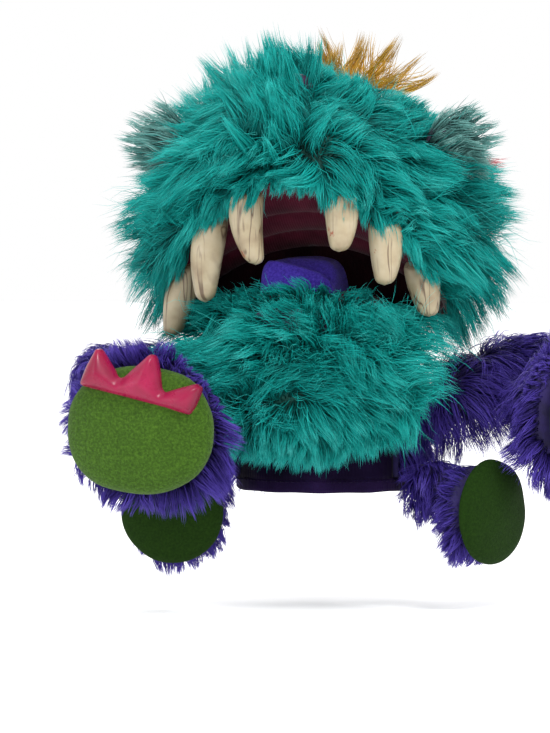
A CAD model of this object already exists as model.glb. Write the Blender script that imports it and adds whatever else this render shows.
import math

import bmesh
import bpy
import numpy as np
from mathutils import Matrix, Vector, kdtree


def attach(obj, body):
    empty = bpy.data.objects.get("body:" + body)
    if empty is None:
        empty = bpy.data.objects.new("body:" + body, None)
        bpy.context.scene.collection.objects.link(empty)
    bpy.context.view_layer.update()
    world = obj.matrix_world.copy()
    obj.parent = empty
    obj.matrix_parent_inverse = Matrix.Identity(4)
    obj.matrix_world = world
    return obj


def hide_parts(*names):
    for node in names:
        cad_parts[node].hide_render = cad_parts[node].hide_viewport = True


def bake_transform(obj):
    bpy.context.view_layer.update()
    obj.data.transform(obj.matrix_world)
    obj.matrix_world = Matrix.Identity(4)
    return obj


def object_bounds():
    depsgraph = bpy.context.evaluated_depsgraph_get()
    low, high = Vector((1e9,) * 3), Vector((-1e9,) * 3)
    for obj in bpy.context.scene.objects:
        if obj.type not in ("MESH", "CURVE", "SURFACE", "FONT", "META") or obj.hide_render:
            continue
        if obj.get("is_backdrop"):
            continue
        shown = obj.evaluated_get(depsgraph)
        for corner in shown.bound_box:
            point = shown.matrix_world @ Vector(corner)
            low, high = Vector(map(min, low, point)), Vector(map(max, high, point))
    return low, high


# A shaggy hand puppet with a moving mouth. Lengths below are in millimetres
# and are turned into metres when a mesh is made. The face looks towards -Y.
MM = 0.001

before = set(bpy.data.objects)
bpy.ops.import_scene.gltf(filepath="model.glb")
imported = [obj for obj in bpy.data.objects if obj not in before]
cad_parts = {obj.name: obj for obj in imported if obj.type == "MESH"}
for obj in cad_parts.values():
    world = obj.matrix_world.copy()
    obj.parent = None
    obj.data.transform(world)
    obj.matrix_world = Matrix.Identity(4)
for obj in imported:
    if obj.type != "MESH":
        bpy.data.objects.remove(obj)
CAD_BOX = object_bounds()
SIDES = {"right": -1, "left": 1}

# ---- view ----
VIEW_TURN = 12.0         # degrees round the puppet from straight ahead
VIEW_RISE = 2.0
VIEW_DISTANCE = 2.0
VIEW_HEIGHT = 0.319      # what the frame shows at the neck, top to bottom
VIEW_AIM = (-0.0212, -0.0045, 0.050)


def place_camera():
    turn = math.radians(VIEW_TURN)
    rise = math.radians(VIEW_RISE)
    away = Vector((math.sin(turn), -math.cos(turn), math.tan(rise)))
    aim = Vector(VIEW_AIM)
    data = bpy.data.cameras.new("camera")
    camera = bpy.data.objects.new("camera", data)
    camera.location = aim + away * VIEW_DISTANCE
    camera.rotation_euler = (aim - camera.location).to_track_quat("-Z", "Y").to_euler()
    data.sensor_fit = "VERTICAL"
    data.sensor_height = 24
    data.lens = 24 * VIEW_DISTANCE / VIEW_HEIGHT
    data.clip_start = 0.01
    bpy.context.scene.collection.objects.link(camera)
    bpy.context.scene.camera = camera


place_camera()


# ------------------------------------------------------------ small helpers
def smooth(x, low, high):
    """0 below low, 1 above high, and a smooth rise between."""
    t = np.clip((x - low) / (high - low), 0, 1)
    return t * t * (3 - 2 * t)


def unit(v):
    v = np.asarray(v, float)
    return v / np.maximum(np.linalg.norm(v, axis=-1, keepdims=True), 1e-9)


def swirl(points, size, seed):
    """A smooth, repeatable field of directions, for fur that doesn't lie straight."""
    rng = np.random.default_rng(seed)
    out = np.zeros_like(points)
    for _ in range(6):
        way = unit(rng.normal(size=3)) * 2 * math.pi / (size * rng.uniform(0.7, 1.6))
        push = rng.normal(size=3)
        out += np.sin(points @ way + rng.uniform(0, 6.28))[:, None] * push
    return out / 3


def make_mesh(name, points, faces, shade_smooth=True):
    mesh = bpy.data.meshes.new(name)
    mesh.from_pydata([tuple(p) for p in np.asarray(points, float) * MM], [], faces)
    mesh.validate()
    mesh.update()
    if shade_smooth:
        mesh.shade_smooth()
    obj = bpy.data.objects.new(name, mesh)
    bpy.context.scene.collection.objects.link(obj)
    return obj


def fix_normals(obj):
    """Makes a closed mesh's faces all point outwards."""
    b = bmesh.new()
    b.from_mesh(obj.data)
    bmesh.ops.remove_doubles(b, verts=b.verts, dist=1e-6)
    bmesh.ops.recalc_face_normals(b, faces=b.faces)
    b.to_mesh(obj.data)
    b.free()
    obj.data.update()
    return obj


def grid_faces(rows, cols, closed=False, start=0):
    faces = []
    for i in range(rows - 1):
        for j in range(cols if closed else cols - 1):
            k = (j + 1) % cols
            a, b = start + i * cols, start + (i + 1) * cols
            faces.append((a + j, a + k, b + k, b + j))
    return faces


def two_layer_mesh(name, points, rows, cols):
    """A closed cloth from a grid of points on one face and then on the other."""
    one = (rows + 1) * (cols + 1)
    faces = grid_faces(rows + 1, cols + 1)
    back = [tuple(one + i for i in reversed(f)) for f in faces]
    ring = list(range(cols + 1))
    ring += [i * (cols + 1) + cols for i in range(1, rows + 1)]
    ring += [rows * (cols + 1) + j for j in range(cols - 1, -1, -1)]
    ring += [i * (cols + 1) for i in range(rows - 1, 0, -1)]
    walls = [(a, b, one + b, one + a) for a, b in zip(ring, ring[1:] + ring[:1])]
    return fix_normals(make_mesh(name, points, faces + back + walls))


def ball(name, centre, radii, rings=24, sides=36):
    """A closed ellipsoid, its poles on Z."""
    points = [(0, 0, -1)]
    for i in range(1, rings):
        polar = math.pi * i / rings
        for j in range(sides):
            around = 2 * math.pi * j / sides
            ring = math.sin(polar)
            points.append((ring * math.cos(around), ring * math.sin(around), -math.cos(polar)))
    points.append((0, 0, 1))
    faces = grid_faces(rings - 1, sides, closed=True, start=1)
    top = 1 + (rings - 2) * sides
    for j in range(sides):
        k = (j + 1) % sides
        faces.append((0, 1 + k, 1 + j))
        faces.append((len(points) - 1, top + j, top + k))
    points = np.array(points) * np.array(radii) + np.array(centre)
    return fix_normals(make_mesh(name, points, faces))


def tube(name, path, radii, sides=24, closed_ends=True):
    """A closed round tube along a path of points."""
    path = np.asarray(path, float)
    radii = np.broadcast_to(radii, len(path))
    way = unit(np.gradient(path, axis=0))
    side = unit(np.cross(way[0], (0.3, 0.2, 1)))
    points = []
    for p, d, r in zip(path, way, radii):
        side = unit(side - d * np.dot(side, d))
        other = np.cross(d, side)
        for j in range(sides):
            a = 2 * math.pi * j / sides
            points.append(p + r * (math.cos(a) * side + math.sin(a) * other))
    faces = grid_faces(len(path), sides, closed=True)
    if closed_ends:
        faces.append(tuple(range(sides)))
        last = (len(path) - 1) * sides
        faces.append(tuple(last + j for j in reversed(range(sides))))
    return fix_normals(make_mesh(name, points, faces))


def copy_nodes(name, *nodes):
    """A new mesh with the shapes of these CAD nodes."""
    points, faces = [], []
    for n in nodes:
        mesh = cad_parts[n].data
        start = len(points)
        points.extend(np.array(v.co) / MM for v in mesh.vertices)
        faces.extend(tuple(start + i for i in p.vertices) for p in mesh.polygons)
    return make_mesh(name, points, faces)


def bake_modifiers(obj):
    """Applies the object's modifiers to its mesh."""
    depsgraph = bpy.context.evaluated_depsgraph_get()
    mesh = bpy.data.meshes.new_from_object(obj.evaluated_get(depsgraph))
    obj.modifiers.clear()
    old = obj.data
    obj.data = mesh
    bpy.data.meshes.remove(old)
    mesh.shade_smooth()
    return obj


def remesh(obj, voxel, relax=0):
    m = obj.modifiers.new("remesh", "REMESH")
    m.mode = "VOXEL"
    m.voxel_size = voxel * MM
    if relax:
        s = obj.modifiers.new("relax", "SMOOTH")
        s.factor = 0.5
        s.iterations = relax
    return bake_modifiers(obj)


def subdivide(obj, levels=1):
    m = obj.modifiers.new("subdivide", "SUBSURF")
    m.levels = levels
    m.render_levels = levels
    return bake_modifiers(obj)


def cut(obj, *cutters, keep_inside=False):
    for c in cutters:
        m = obj.modifiers.new("cut", "BOOLEAN")
        m.operation = "INTERSECT" if keep_inside else "DIFFERENCE"
        m.object = c
        m.solver = "EXACT"
    bake_modifiers(obj)
    for c in cutters:
        bpy.data.objects.remove(c)
    return obj


def fuse(name, *objs):
    """Joins closed meshes into one object; a remesh then makes them one skin."""
    points, faces = [], []
    for o in objs:
        start = len(points)
        points.extend(np.array(v.co) / MM for v in o.data.vertices)
        faces.extend(tuple(start + i for i in p.vertices) for p in o.data.polygons)
        bpy.data.objects.remove(o)
    return make_mesh(name, points, faces)


def ruffle(obj, size, height, seed):
    """Moves a skin's points in and out, by height mm over lumps of size mm."""
    mesh = obj.data
    co = np.empty(len(mesh.vertices) * 3)
    mesh.vertices.foreach_get("co", co)
    co = co.reshape(-1, 3) / MM
    normals = np.empty(len(mesh.vertices) * 3, np.float32)
    mesh.vertices.foreach_get("normal", normals)
    lump = swirl(co, size, seed)[:, :1]
    co = co + normals.reshape(-1, 3) * lump * height
    mesh.vertices.foreach_set("co", (co * MM).ravel())
    mesh.update()
    return obj


def move(obj, matrix):
    obj.data.transform(matrix)
    obj.data.update()
    return obj


def mm_matrix(origin, turn_z=0.0, turn_x=0.0):
    m = Matrix.Translation(Vector(origin) * MM)
    m = m @ Matrix.Rotation(math.radians(turn_z), 4, "Z")
    return m @ Matrix.Rotation(math.radians(turn_x), 4, "X")


# ------------------------------------------------------------ materials
class Nodes:
    """Short calls for building a material's nodes."""

    def __init__(self, name):
        self.mat = bpy.data.materials.new(name)
        self.mat.use_nodes = True
        self.tree = self.mat.node_tree
        self.shader = self.tree.nodes["Principled BSDF"]

    def add(self, kind, inputs=(), **settings):
        node = self.tree.nodes.new(kind)
        for key, value in settings.items():
            setattr(node, key, value)
        for key, value in dict(inputs).items():
            self.give(node.inputs[key], value)
        return node

    def give(self, socket, value):
        if isinstance(value, bpy.types.NodeSocket):
            self.tree.links.new(value, socket)
        else:
            socket.default_value = value

    def place(self):
        return self.add("ShaderNodeTexCoord").outputs["Object"]

    def noise(self, scale, detail=4.0, rough=0.55, stretch=None, twist=0.0):
        """Noise with lumps of about 1 / scale metres."""
        where = self.place()
        if stretch:
            where = self.add("ShaderNodeMapping", {"Vector": where, "Scale": stretch}).outputs[0]
        inputs = {"Vector": where, "Scale": scale, "Detail": detail, "Roughness": rough,
                  "Distortion": twist}
        return self.add("ShaderNodeTexNoise", inputs).outputs["Fac"]

    def ramp(self, fac, stops, mode="LINEAR"):
        node = self.add("ShaderNodeValToRGB", {"Fac": fac})
        node.color_ramp.interpolation = mode
        elements = node.color_ramp.elements
        while len(elements) < len(stops):
            elements.new(0.5)
        for e, (at, colour) in zip(elements, stops):
            e.position = at
            e.color = (*colour, 1) if len(colour) == 3 else colour
        return node.outputs["Color"]

    def math(self, how, a, b=0.0):
        return self.add("ShaderNodeMath", {0: a, 1: b}, operation=how).outputs[0]

    def mix(self, fac, a, b, how="MIX"):
        node = self.add("ShaderNodeMix", data_type="RGBA", blend_type=how)
        self.give(node.inputs[0], fac)
        self.give(node.inputs[6], a if not isinstance(a, tuple) else (*a, 1))
        self.give(node.inputs[7], b if not isinstance(b, tuple) else (*b, 1))
        return node.outputs[2]

    def bump(self, height, strength, distance):
        inputs = {"Height": height, "Strength": strength, "Distance": distance}
        return self.add("ShaderNodeBump", inputs).outputs["Normal"]

    def set(self, **values):
        for key, value in values.items():
            self.give(self.shader.inputs[key.replace("_", " ")], value)
        return self.mat


def fur_material(name, root, middle, tip, pale, roughness=0.55, sheen=0.0):
    """Colour by the strand's shade (U) and by how far along it is (V)."""
    n = Nodes(name)
    uv = n.add("ShaderNodeUVMap", uv_map="OFBake").outputs["UV"]
    parts = n.add("ShaderNodeSeparateXYZ", {"Vector": uv})
    shade, along = parts.outputs["X"], parts.outputs["Y"]
    dark = n.ramp(along, [(0.0, root), (0.45, middle), (1.0, tip)])
    dim = [c * 0.42 for c in middle]
    dimmer = n.ramp(along, [(0.0, [c * 0.5 for c in root]), (0.6, dim), (1.0, middle)])
    light = n.ramp(along, [(0.0, middle), (0.5, tip), (1.0, pale)])
    low = n.mix(n.math("MULTIPLY", shade, 2.0), dimmer, dark)
    high = n.math("MULTIPLY", n.math("SUBTRACT", shade, 0.5), 2.0)
    colour = n.mix(high, low, light)
    return n.set(Base_Color=colour, Roughness=roughness, Sheen_Weight=sheen,
                 Sheen_Roughness=0.4, Specular_IOR_Level=0.2)


def skin_material(name, dark, light):
    """The backing cloth under a pile: a knit with darker hollows."""
    n = Nodes(name)
    patches = n.ramp(n.noise(120, 5), [(0.35, dark), (0.7, light)])
    knit = n.noise(1800, 2, stretch=(1, 1, 0.5))
    return n.set(Base_Color=patches, Roughness=0.9, Normal=n.bump(knit, 0.5, 0.0004))


def fleece_material(name, dark, colour, light, fuzz=0.0006, sheen=0.1):
    """Short brushed fleece: fine pills and a soft sheen."""
    n = Nodes(name)
    pills = n.noise(950, 6, 0.7)
    fine = n.noise(2600, 3, 0.6)
    broad = n.noise(55, 3)
    tone = n.ramp(pills, [(0.3, dark), (0.5, colour), (0.72, light)])
    tone = n.mix(n.math("MULTIPLY", broad, 0.35), tone, tuple(c * 0.75 for c in colour))
    height = n.math("ADD", pills, n.math("MULTIPLY", fine, 0.5))
    rough = n.ramp(pills, [(0.2, (0.95,) * 3), (0.8, (0.8,) * 3)])
    return n.set(Base_Color=tone, Roughness=rough, Normal=n.bump(height, 0.9, fuzz),
                 Sheen_Weight=sheen, Sheen_Roughness=0.5, Specular_IOR_Level=0.12)


def vinyl_material(name, dark, colour, light, roughness=0.22):
    """Moulded vinyl with faint flow marks, dust and rubbed high spots."""
    n = Nodes(name)
    flow = n.noise(60, 4, 0.5, twist=0.8)
    fine = n.noise(900, 3)
    tone = n.ramp(flow, [(0.3, dark), (0.55, colour), (0.8, light)])
    rough = n.ramp(n.noise(240, 4), [(0.3, (roughness,) * 3), (0.75, (roughness + 0.18,) * 3)])
    return n.set(Base_Color=tone, Roughness=rough, Normal=n.bump(fine, 0.12, 0.0002),
                 Specular_IOR_Level=0.3, Subsurface_Weight=0.05)


def fang_material():
    """Ivory vinyl with dark lengthwise cracks and red-brown worn spots."""
    n = Nodes("fang_vinyl")
    broad = n.noise(70, 4)
    ivory = n.ramp(broad, [(0.3, (0.27, 0.20, 0.12)), (0.5, (0.39, 0.32, 0.205)),
                           (0.75, (0.47, 0.40, 0.28))])
    crack = n.noise(78, 3, 0.5, stretch=(1, 1, 0.10), twist=0.6)
    dark, clear = (1, 1, 1), (0, 0, 0)
    line = n.ramp(crack, [(0.405, clear), (0.418, dark), (0.431, clear), (0.482, clear), (0.5, dark),
                          (0.516, clear), (0.572, clear), (0.584, dark), (0.597, clear)])
    where = n.ramp(n.noise(40, 2), [(0.36, (0, 0, 0)), (0.50, (1, 1, 1))])
    line = n.mix(1.0, line, where, "MULTIPLY")
    spots = n.ramp(n.noise(120, 4, 0.6), [(0.635, (0, 0, 0)), (0.67, (1, 1, 1))])
    tone = n.mix(spots, ivory, (0.30, 0.09, 0.04))
    tone = n.mix(n.math("MULTIPLY", line, 0.9), tone, (0.07, 0.03, 0.015))
    height = n.math("SUBTRACT", n.math("MULTIPLY", n.noise(300, 4), 0.15), line)
    rough = n.ramp(n.noise(200, 4), [(0.3, (0.28,) * 3), (0.8, (0.5,) * 3)])
    return n.set(Base_Color=tone, Roughness=rough, Normal=n.bump(height, 0.35, 0.0004),
                 Specular_IOR_Level=0.5, Subsurface_Weight=0.12,
                 Subsurface_Radius=(0.004, 0.0025, 0.0015))


def cloth_material(name, dark, colour, light, weave=1400, sheen=0.3, rough=0.85):
    """Smooth knitted cloth with fine ribs."""
    n = Nodes(name)
    ribs = n.add("ShaderNodeTexWave", {"Vector": n.place(), "Scale": weave / 6, "Distortion": 0.6,
                                       "Detail": 1.0}, wave_type="BANDS", bands_direction="X").outputs["Fac"]
    fine = n.noise(weave, 3)
    broad = n.noise(50, 4)
    tone = n.ramp(broad, [(0.3, dark), (0.5, colour), (0.75, light)])
    height = n.math("ADD", n.math("MULTIPLY", ribs, 0.6), fine)
    return n.set(Base_Color=tone, Roughness=rough, Normal=n.bump(height, 0.45, 0.0003),
                 Sheen_Weight=sheen, Sheen_Roughness=0.4, Specular_IOR_Level=0.06)


def plastic_material(name, dark, colour, roughness=0.35):
    n = Nodes(name)
    tone = n.ramp(n.noise(80, 3), [(0.3, dark), (0.7, colour)])
    rough = n.ramp(n.noise(300, 4), [(0.3, (roughness,) * 3), (0.8, (roughness + 0.15,) * 3)])
    return n.set(Base_Color=tone, Roughness=rough, Normal=n.bump(n.noise(700, 2), 0.08, 0.0002))


TEAL = fur_material("teal_pile", (0.0, 0.055, 0.050), (0.001, 0.30, 0.275), (0.004, 0.44, 0.40),
                    (0.08, 0.64, 0.60))
PURPLE = fur_material("purple_pile", (0.006, 0.003, 0.05), (0.05, 0.028, 0.27), (0.09, 0.055, 0.42),
                      (0.19, 0.14, 0.60))
GOLD = fur_material("gold_hair", (0.62, 0.33, 0.02), (0.82, 0.48, 0.05), (0.30, 0.19, 0.07),
                    (0.14, 0.11, 0.06))
RED = fur_material("red_hair", (0.18, 0.01, 0.02), (0.50, 0.05, 0.08), (0.62, 0.10, 0.13),
                   (0.75, 0.25, 0.25))
GREY = fur_material("grey_fuzz", (0.05, 0.10, 0.10), (0.10, 0.28, 0.26), (0.17, 0.42, 0.39),
                    (0.42, 0.58, 0.55))
TEAL_SKIN = skin_material("teal_backing", (0.001, 0.035, 0.03), (0.003, 0.09, 0.07))
PURPLE_SKIN = skin_material("purple_backing", (0.008, 0.004, 0.04), (0.02, 0.01, 0.10))
GREY_SKIN = skin_material("grey_backing", (0.03, 0.02, 0.05), (0.10, 0.07, 0.13))
LIME = fleece_material("lime_fleece", (0.014, 0.036, 0.002), (0.038, 0.095, 0.006),
                       (0.080, 0.175, 0.014))
GREEN = fleece_material("green_fleece", (0.004, 0.016, 0.001), (0.008, 0.028, 0.001),
                        (0.013, 0.042, 0.002), fuzz=0.0003, sheen=0.0)
VIOLET = fleece_material("violet_fleece", (0.02, 0.010, 0.14), (0.05, 0.025, 0.34), (0.09, 0.055, 0.52))
PINK = vinyl_material("pink_vinyl", (0.18, 0.003, 0.028), (0.27, 0.005, 0.045), (0.36, 0.012, 0.070),
                      0.22)
PLUM = vinyl_material("plum_vinyl", (0.025, 0.010, 0.03), (0.045, 0.018, 0.055), (0.08, 0.035, 0.09),
                      0.3)
IVORY = fang_material()
DARK_KNIT = cloth_material("dark_knit", (0.003, 0.0012, 0.009), (0.006, 0.0025, 0.016),
                           (0.011, 0.005, 0.028), sheen=0.03)
BINDING = cloth_material("hem_binding", (0.008, 0.003, 0.02), (0.014, 0.006, 0.036),
                         (0.024, 0.010, 0.055), weave=2200, sheen=0.05)
LINING = cloth_material("lining_knit", (0.02, 0.012, 0.03), (0.04, 0.025, 0.06), (0.06, 0.04, 0.09))
WINE = cloth_material("wine_cloth", (0.035, 0.004, 0.010), (0.075, 0.008, 0.020), (0.12, 0.016, 0.034),
                      weave=1800, sheen=0.1)
THROAT = cloth_material("throat_cloth", (0.004, 0.001, 0.002), (0.012, 0.002, 0.004),
                        (0.025, 0.004, 0.008))
BOARD = plastic_material("mouth_board", (0.05, 0.045, 0.04), (0.10, 0.09, 0.08), 0.6)
LOCK = plastic_material("lock_plastic", (0.02, 0.05, 0.05), (0.03, 0.07, 0.07), 0.4)


def wear(obj, material):
    obj.data.materials.clear()
    obj.data.materials.append(material)
    return obj


# ------------------------------------------------------------ fur
PILE_STEPS = 5           # segments along a strand
MOST_STRANDS = 6800      # in one piece
STRANDS = {
    "head_pile": 33000, "crown_spikes": 1300, "lip_fringe": 4200, "brow_pile": 1300,
    "head_strays": 500, "chin_pile": 20000, "chin_strays": 420, "collar_pile": 3000,
    "sleeve_pile": 6000, "arm_pile": 6000, "paw_pile": 5600, "leg_pile": 4200,
    "crest_pile": 620, "side_hair": 420, "ear": 1100,
}


def scatter(obj, count, seed, keep=None):
    """Points spread evenly over a skin, and the skin's directions there."""
    mesh = obj.data
    mesh.calc_loop_triangles()
    co = np.empty(len(mesh.vertices) * 3)
    mesh.vertices.foreach_get("co", co)
    co = co.reshape(-1, 3) / MM
    normals = np.empty(len(mesh.vertices) * 3, np.float32)
    mesh.vertices.foreach_get("normal", normals)
    normals = normals.reshape(-1, 3)
    tris = np.empty(len(mesh.loop_triangles) * 3, np.int32)
    mesh.loop_triangles.foreach_get("vertices", tris)
    tris = tris.reshape(-1, 3)
    if keep is not None:
        tris = tris[keep(co[tris].mean(1))]
    a, b, c = (co[tris[:, i]] for i in range(3))
    area = np.linalg.norm(np.cross(b - a, c - a), axis=1)
    rng = np.random.default_rng(seed)
    pick = rng.choice(len(tris), count, p=area / area.sum())
    u, v = rng.random((2, count, 1))
    over = u + v > 1
    u, v = np.where(over, 1 - u, u), np.where(over, 1 - v, v)
    w = 1 - u - v
    roots = a[pick] * w + b[pick] * u + c[pick] * v
    n0, n1, n2 = (normals[tris[pick, i]] for i in range(3))
    return roots, unit(n0 * w + n1 * u + n2 * v)


def nearest(points, among):
    tree = kdtree.KDTree(len(among))
    for i, p in enumerate(among):
        tree.insert(p, i)
    tree.balance()
    return np.array([tree.find(p)[1] for p in points])


def guide_paths(roots, normals, comb, length, lift, droop, curl, rng, clear):
    """Paths for the middle of each lock."""
    way = unit(normals * lift[:, None] + unit(comb) * (1 - lift[:, None]))
    curl_way = unit(np.cross(way, rng.normal(size=way.shape)))
    phase = rng.uniform(0, 6.28, len(roots))
    turns = rng.uniform(0.6, 1.5, len(roots))
    path = [roots]
    for k in range(PILE_STEPS):
        t = (k + 0.5) / PILE_STEPS
        bend = np.sin(phase + turns * 6.28 * t)[:, None] * curl_way * curl
        way = unit(way + bend / PILE_STEPS + np.array((0, 0, -droop)) / PILE_STEPS
                   + unit(comb) * 0.5 / PILE_STEPS)
        step = path[-1] + way * (length / PILE_STEPS)[:, None]
        path.append(clear(step) if clear else step)
    return np.stack(path, 1)


def fur(name, roots, normals, comb, length, body, material, seed, lift=0.35, droop=0.6,
        curl=2.2, lock=22, clump=0.8, tuft=7, bunch=0.4, width=0.42, wild=0.06, shade=0.5,
        clear=None):
    """Strands in tapering locks, as closed three-sided tubes, in pieces of one body."""
    rng = np.random.default_rng(seed)
    count = len(roots)
    length = np.broadcast_to(length, count)
    lift = np.broadcast_to(lift, count)
    shade = np.broadcast_to(shade, count)
    leaders = rng.choice(count, max(2, count // lock), replace=False)
    guides = guide_paths(roots[leaders], normals[leaders], comb[leaders], length[leaders]
                         * rng.uniform(0.8, 1.15, len(leaders)), lift[leaders], droop, curl, rng, clear)
    chiefs = rng.choice(len(leaders), max(2, len(leaders) // tuft), replace=False)
    theirs = nearest(roots[leaders], roots[leaders[chiefs]])
    gather = (bunch * smooth(np.linspace(0, 1, PILE_STEPS + 1), 0.15, 1.0))[None, :, None]
    guides = guides * (1 - gather) + guides[chiefs][theirs] * gather
    mine = nearest(roots, roots[leaders])
    own = guide_paths(roots, normals, comb, length * rng.uniform(0.75, 1.1, count), lift, droop,
                      curl * 0.6, rng, clear)
    t = np.linspace(0, 1, PILE_STEPS + 1)
    hold = clump * smooth(t, 0.0, 0.9)[None, :, None]
    loose = (rng.random(count) < wild)[:, None, None]
    hold = np.where(loose, hold * 0.25, hold * rng.uniform(0.75, 1.0, (count, 1, 1)))
    reach = rng.uniform(0.72, 1.0, count)
    along = np.clip(reach[:, None] * t[None, :] * PILE_STEPS, 0, PILE_STEPS - 1e-6)
    low = along.astype(int)
    part = (along - low)[..., None]
    rows = np.arange(count)[:, None]
    lead = guides[mine]
    lead = lead[rows, low] * (1 - part) + lead[rows, low + 1] * part
    line = own * (1 - hold) + lead * hold
    line = line + rng.normal(size=(count, 1, 3)) * 0.35 * t[None, :, None]
    group_shade = rng.normal(0, 0.16, len(leaders))[mine]
    tone = np.clip(shade + group_shade + rng.normal(0, 0.12, count), 0.02, 0.98)
    thick = width * rng.uniform(0.7, 1.25, count)
    pieces = []
    parts = max(1, math.ceil(count / MOST_STRANDS))
    order = np.argsort(mine, kind="stable")
    for i, chosen in enumerate(np.array_split(order, parts)):
        piece = strand_mesh(f"{name}_{i + 1}" if parts > 1 else name, line[chosen], tone[chosen],
                            thick[chosen], rng)
        wear(piece, material)
        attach(piece, body)
        pieces.append(piece)
    return pieces


def strand_mesh(name, line, tone, thick, rng):
    """Three-sided tapering tubes, closed at both ends."""
    count, rings = line.shape[0], line.shape[1] - 1
    way = unit(np.gradient(line, axis=1))
    side = unit(np.cross(way, rng.normal(size=(count, 1, 3))))
    other = np.cross(way, side)
    t = np.linspace(0, 1, rings + 1)[:-1]
    radius = thick[:, None] / 2 * (1 - 0.75 * t[None, :] ** 1.5)
    angles = np.arange(3) * 2 * math.pi / 3
    ring = (side[:, :-1, None] * np.cos(angles)[:, None] + other[:, :-1, None] * np.sin(angles)[:, None])
    points = line[:, :-1, None] + ring * radius[..., None, None]
    points = np.concatenate([points.reshape(count, -1, 3), line[:, -1:]], 1)
    each = rings * 3 + 1
    i = np.arange(rings - 1)[:, None] * 3
    j = np.arange(3)[None, :]
    k = (j + 1) % 3
    quads = np.stack([i + j, i + k, i + 3 + k, i + 3 + j], -1).reshape(-1, 4)
    last = (rings - 1) * 3
    tips = np.array([(last + a, last + (a + 1) % 3, each - 1) for a in range(3)])
    caps = np.array([(2, 1, 0)])
    tris = np.concatenate([tips, caps])
    start = (np.arange(count) * each)[:, None, None]
    all_quads = (quads[None] + start).reshape(-1, 4)
    all_tris = (tris[None] + start).reshape(-1, 3)
    loops = np.concatenate([all_quads.ravel(), all_tris.ravel()]).astype(np.int32)
    sizes = np.concatenate([np.full(len(all_quads), 4), np.full(len(all_tris), 3)])
    starts = np.concatenate([[0], np.cumsum(sizes)[:-1]]).astype(np.int32)
    mesh = bpy.data.meshes.new(name)
    mesh.vertices.add(count * each)
    mesh.vertices.foreach_set("co", (points.reshape(-1) * MM).astype(np.float32))
    mesh.loops.add(len(loops))
    mesh.loops.foreach_set("vertex_index", loops)
    mesh.polygons.add(len(starts))
    mesh.polygons.foreach_set("loop_start", starts)
    mesh.update(calc_edges=True)
    mesh.shade_smooth()
    local = loops % each
    v = np.where(local == each - 1, 1.0, (local // 3) / rings)
    around = np.where(local == each - 1, 1, local % 3) * 0.004
    u = tone[loops // each] * 0.98 + around
    uv = mesh.uv_layers.new(name="OFBake")
    uv.data.foreach_set("uv", np.stack([u, 0.01 + 0.98 * v], -1).astype(np.float32).ravel())
    obj = bpy.data.objects.new(name, mesh)
    bpy.context.scene.collection.objects.link(obj)
    return obj


def outside_balls(*balls):
    """Keeps points from sinking into ellipsoids."""
    def clear(points):
        for centre, radii in balls:
            rel = (points - centre) / radii
            level = np.linalg.norm(rel, axis=-1, keepdims=True)
            points = centre + rel * np.maximum(level, 1.02) / np.maximum(level, 1e-6) * radii
        return points
    return clear


# cut sizes of the cloths before sewing: width, length and, for a shaped cut, area
CLOTHS = {
    "palate_cloth": (0.125, 0.062, 0.0062, "stretched", "palate_board"),
    "jaw_cloth": (0.090, 0.042, 0.0030, "stretched", "jaw_board"),
    "throat_cloth": (0.150, 0.020, None, "stretched", "palate_board"),
    "sleeve_front_knit": (0.081, 0.057, None, "stretched", "sleeve_lining_knit"),
    "neck_collar_knit": (0.152, 0.030, None, "stretched", "sleeve_lining_knit"),
    "sleeve_lining_knit": (0.221, 0.077, 0.0154, "stretched", "hem_binding"),
    "hem_binding": (0.230, 0.010, None, "folded", "sleeve_lining_knit"),
    "finger_pocket_cloth": (0.154, 0.046, 0.0064, "folded", "palate_board"),
    "thumb_pocket_cloth": (0.096, 0.036, 0.0029, "folded", "jaw_board"),
    "neck_gusset_cloth": (0.160, 0.024, None, "gathered", "neck_collar_knit"),
}


def declare_sheet(obj, pieces=()):
    width, length, area, held, on = CLOTHS[obj.name]


# ------------------------------------------------------------ shared sizes
HEAD_C = np.array((0, -14, 120.0))
HEAD_R = np.array((57, 71, 47.0))
MUZZLE_C = np.array((0, -18, 110.0))
MUZZLE_R = np.array((64, 66, 40.0))
PALATE_TILT = math.radians(24)
PALATE_Z = 94.0
PALATE_R = 72.0
MOUTH_Y = -24.0
JAW_TILT = math.radians(-3)
JAW_Z = 86.0
JAW_R = 90.0
NECK = np.array((0, 0, 90.0))
CHIN_C = np.array((0, -60, 46.0))
CHIN_R = np.array((49, 22, 25.0))


def palate_height(x, y, out=0.0):
    r = PALATE_R + out
    drop = PALATE_R - np.sqrt(np.maximum(r**2 - x**2, 1))
    return PALATE_Z - y * math.tan(PALATE_TILT) - drop / math.cos(PALATE_TILT)


def jaw_height(x, y, out=0.0):
    r = JAW_R + out
    drop = JAW_R - np.sqrt(np.maximum(r**2 - x**2, 1))
    return JAW_Z - y * math.tan(JAW_TILT) - drop / math.cos(JAW_TILT)


# ------------------------------------------------------------ head
def tilted_cylinder(name, radius, crown_r, crown_z, tilt, y_from, y_to):
    """A cylinder along Y, tilted so that its crown rises to the front."""
    local = [(0, -y, -crown_r) for y in (y_from, y_to)]
    body = tube(name, local, radius, sides=96)
    return move(body, mm_matrix((0, 0, crown_z), turn_x=-math.degrees(tilt)))


def mouth_cutter():
    body = tilted_cylinder("cutter", PALATE_R + 4.4, PALATE_R, PALATE_Z, PALATE_TILT, -60, 170)
    front = box_mesh("front", (-150, -250, -100), (150, -18.5, 250))
    return cut(body, front, keep_inside=True)


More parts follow.
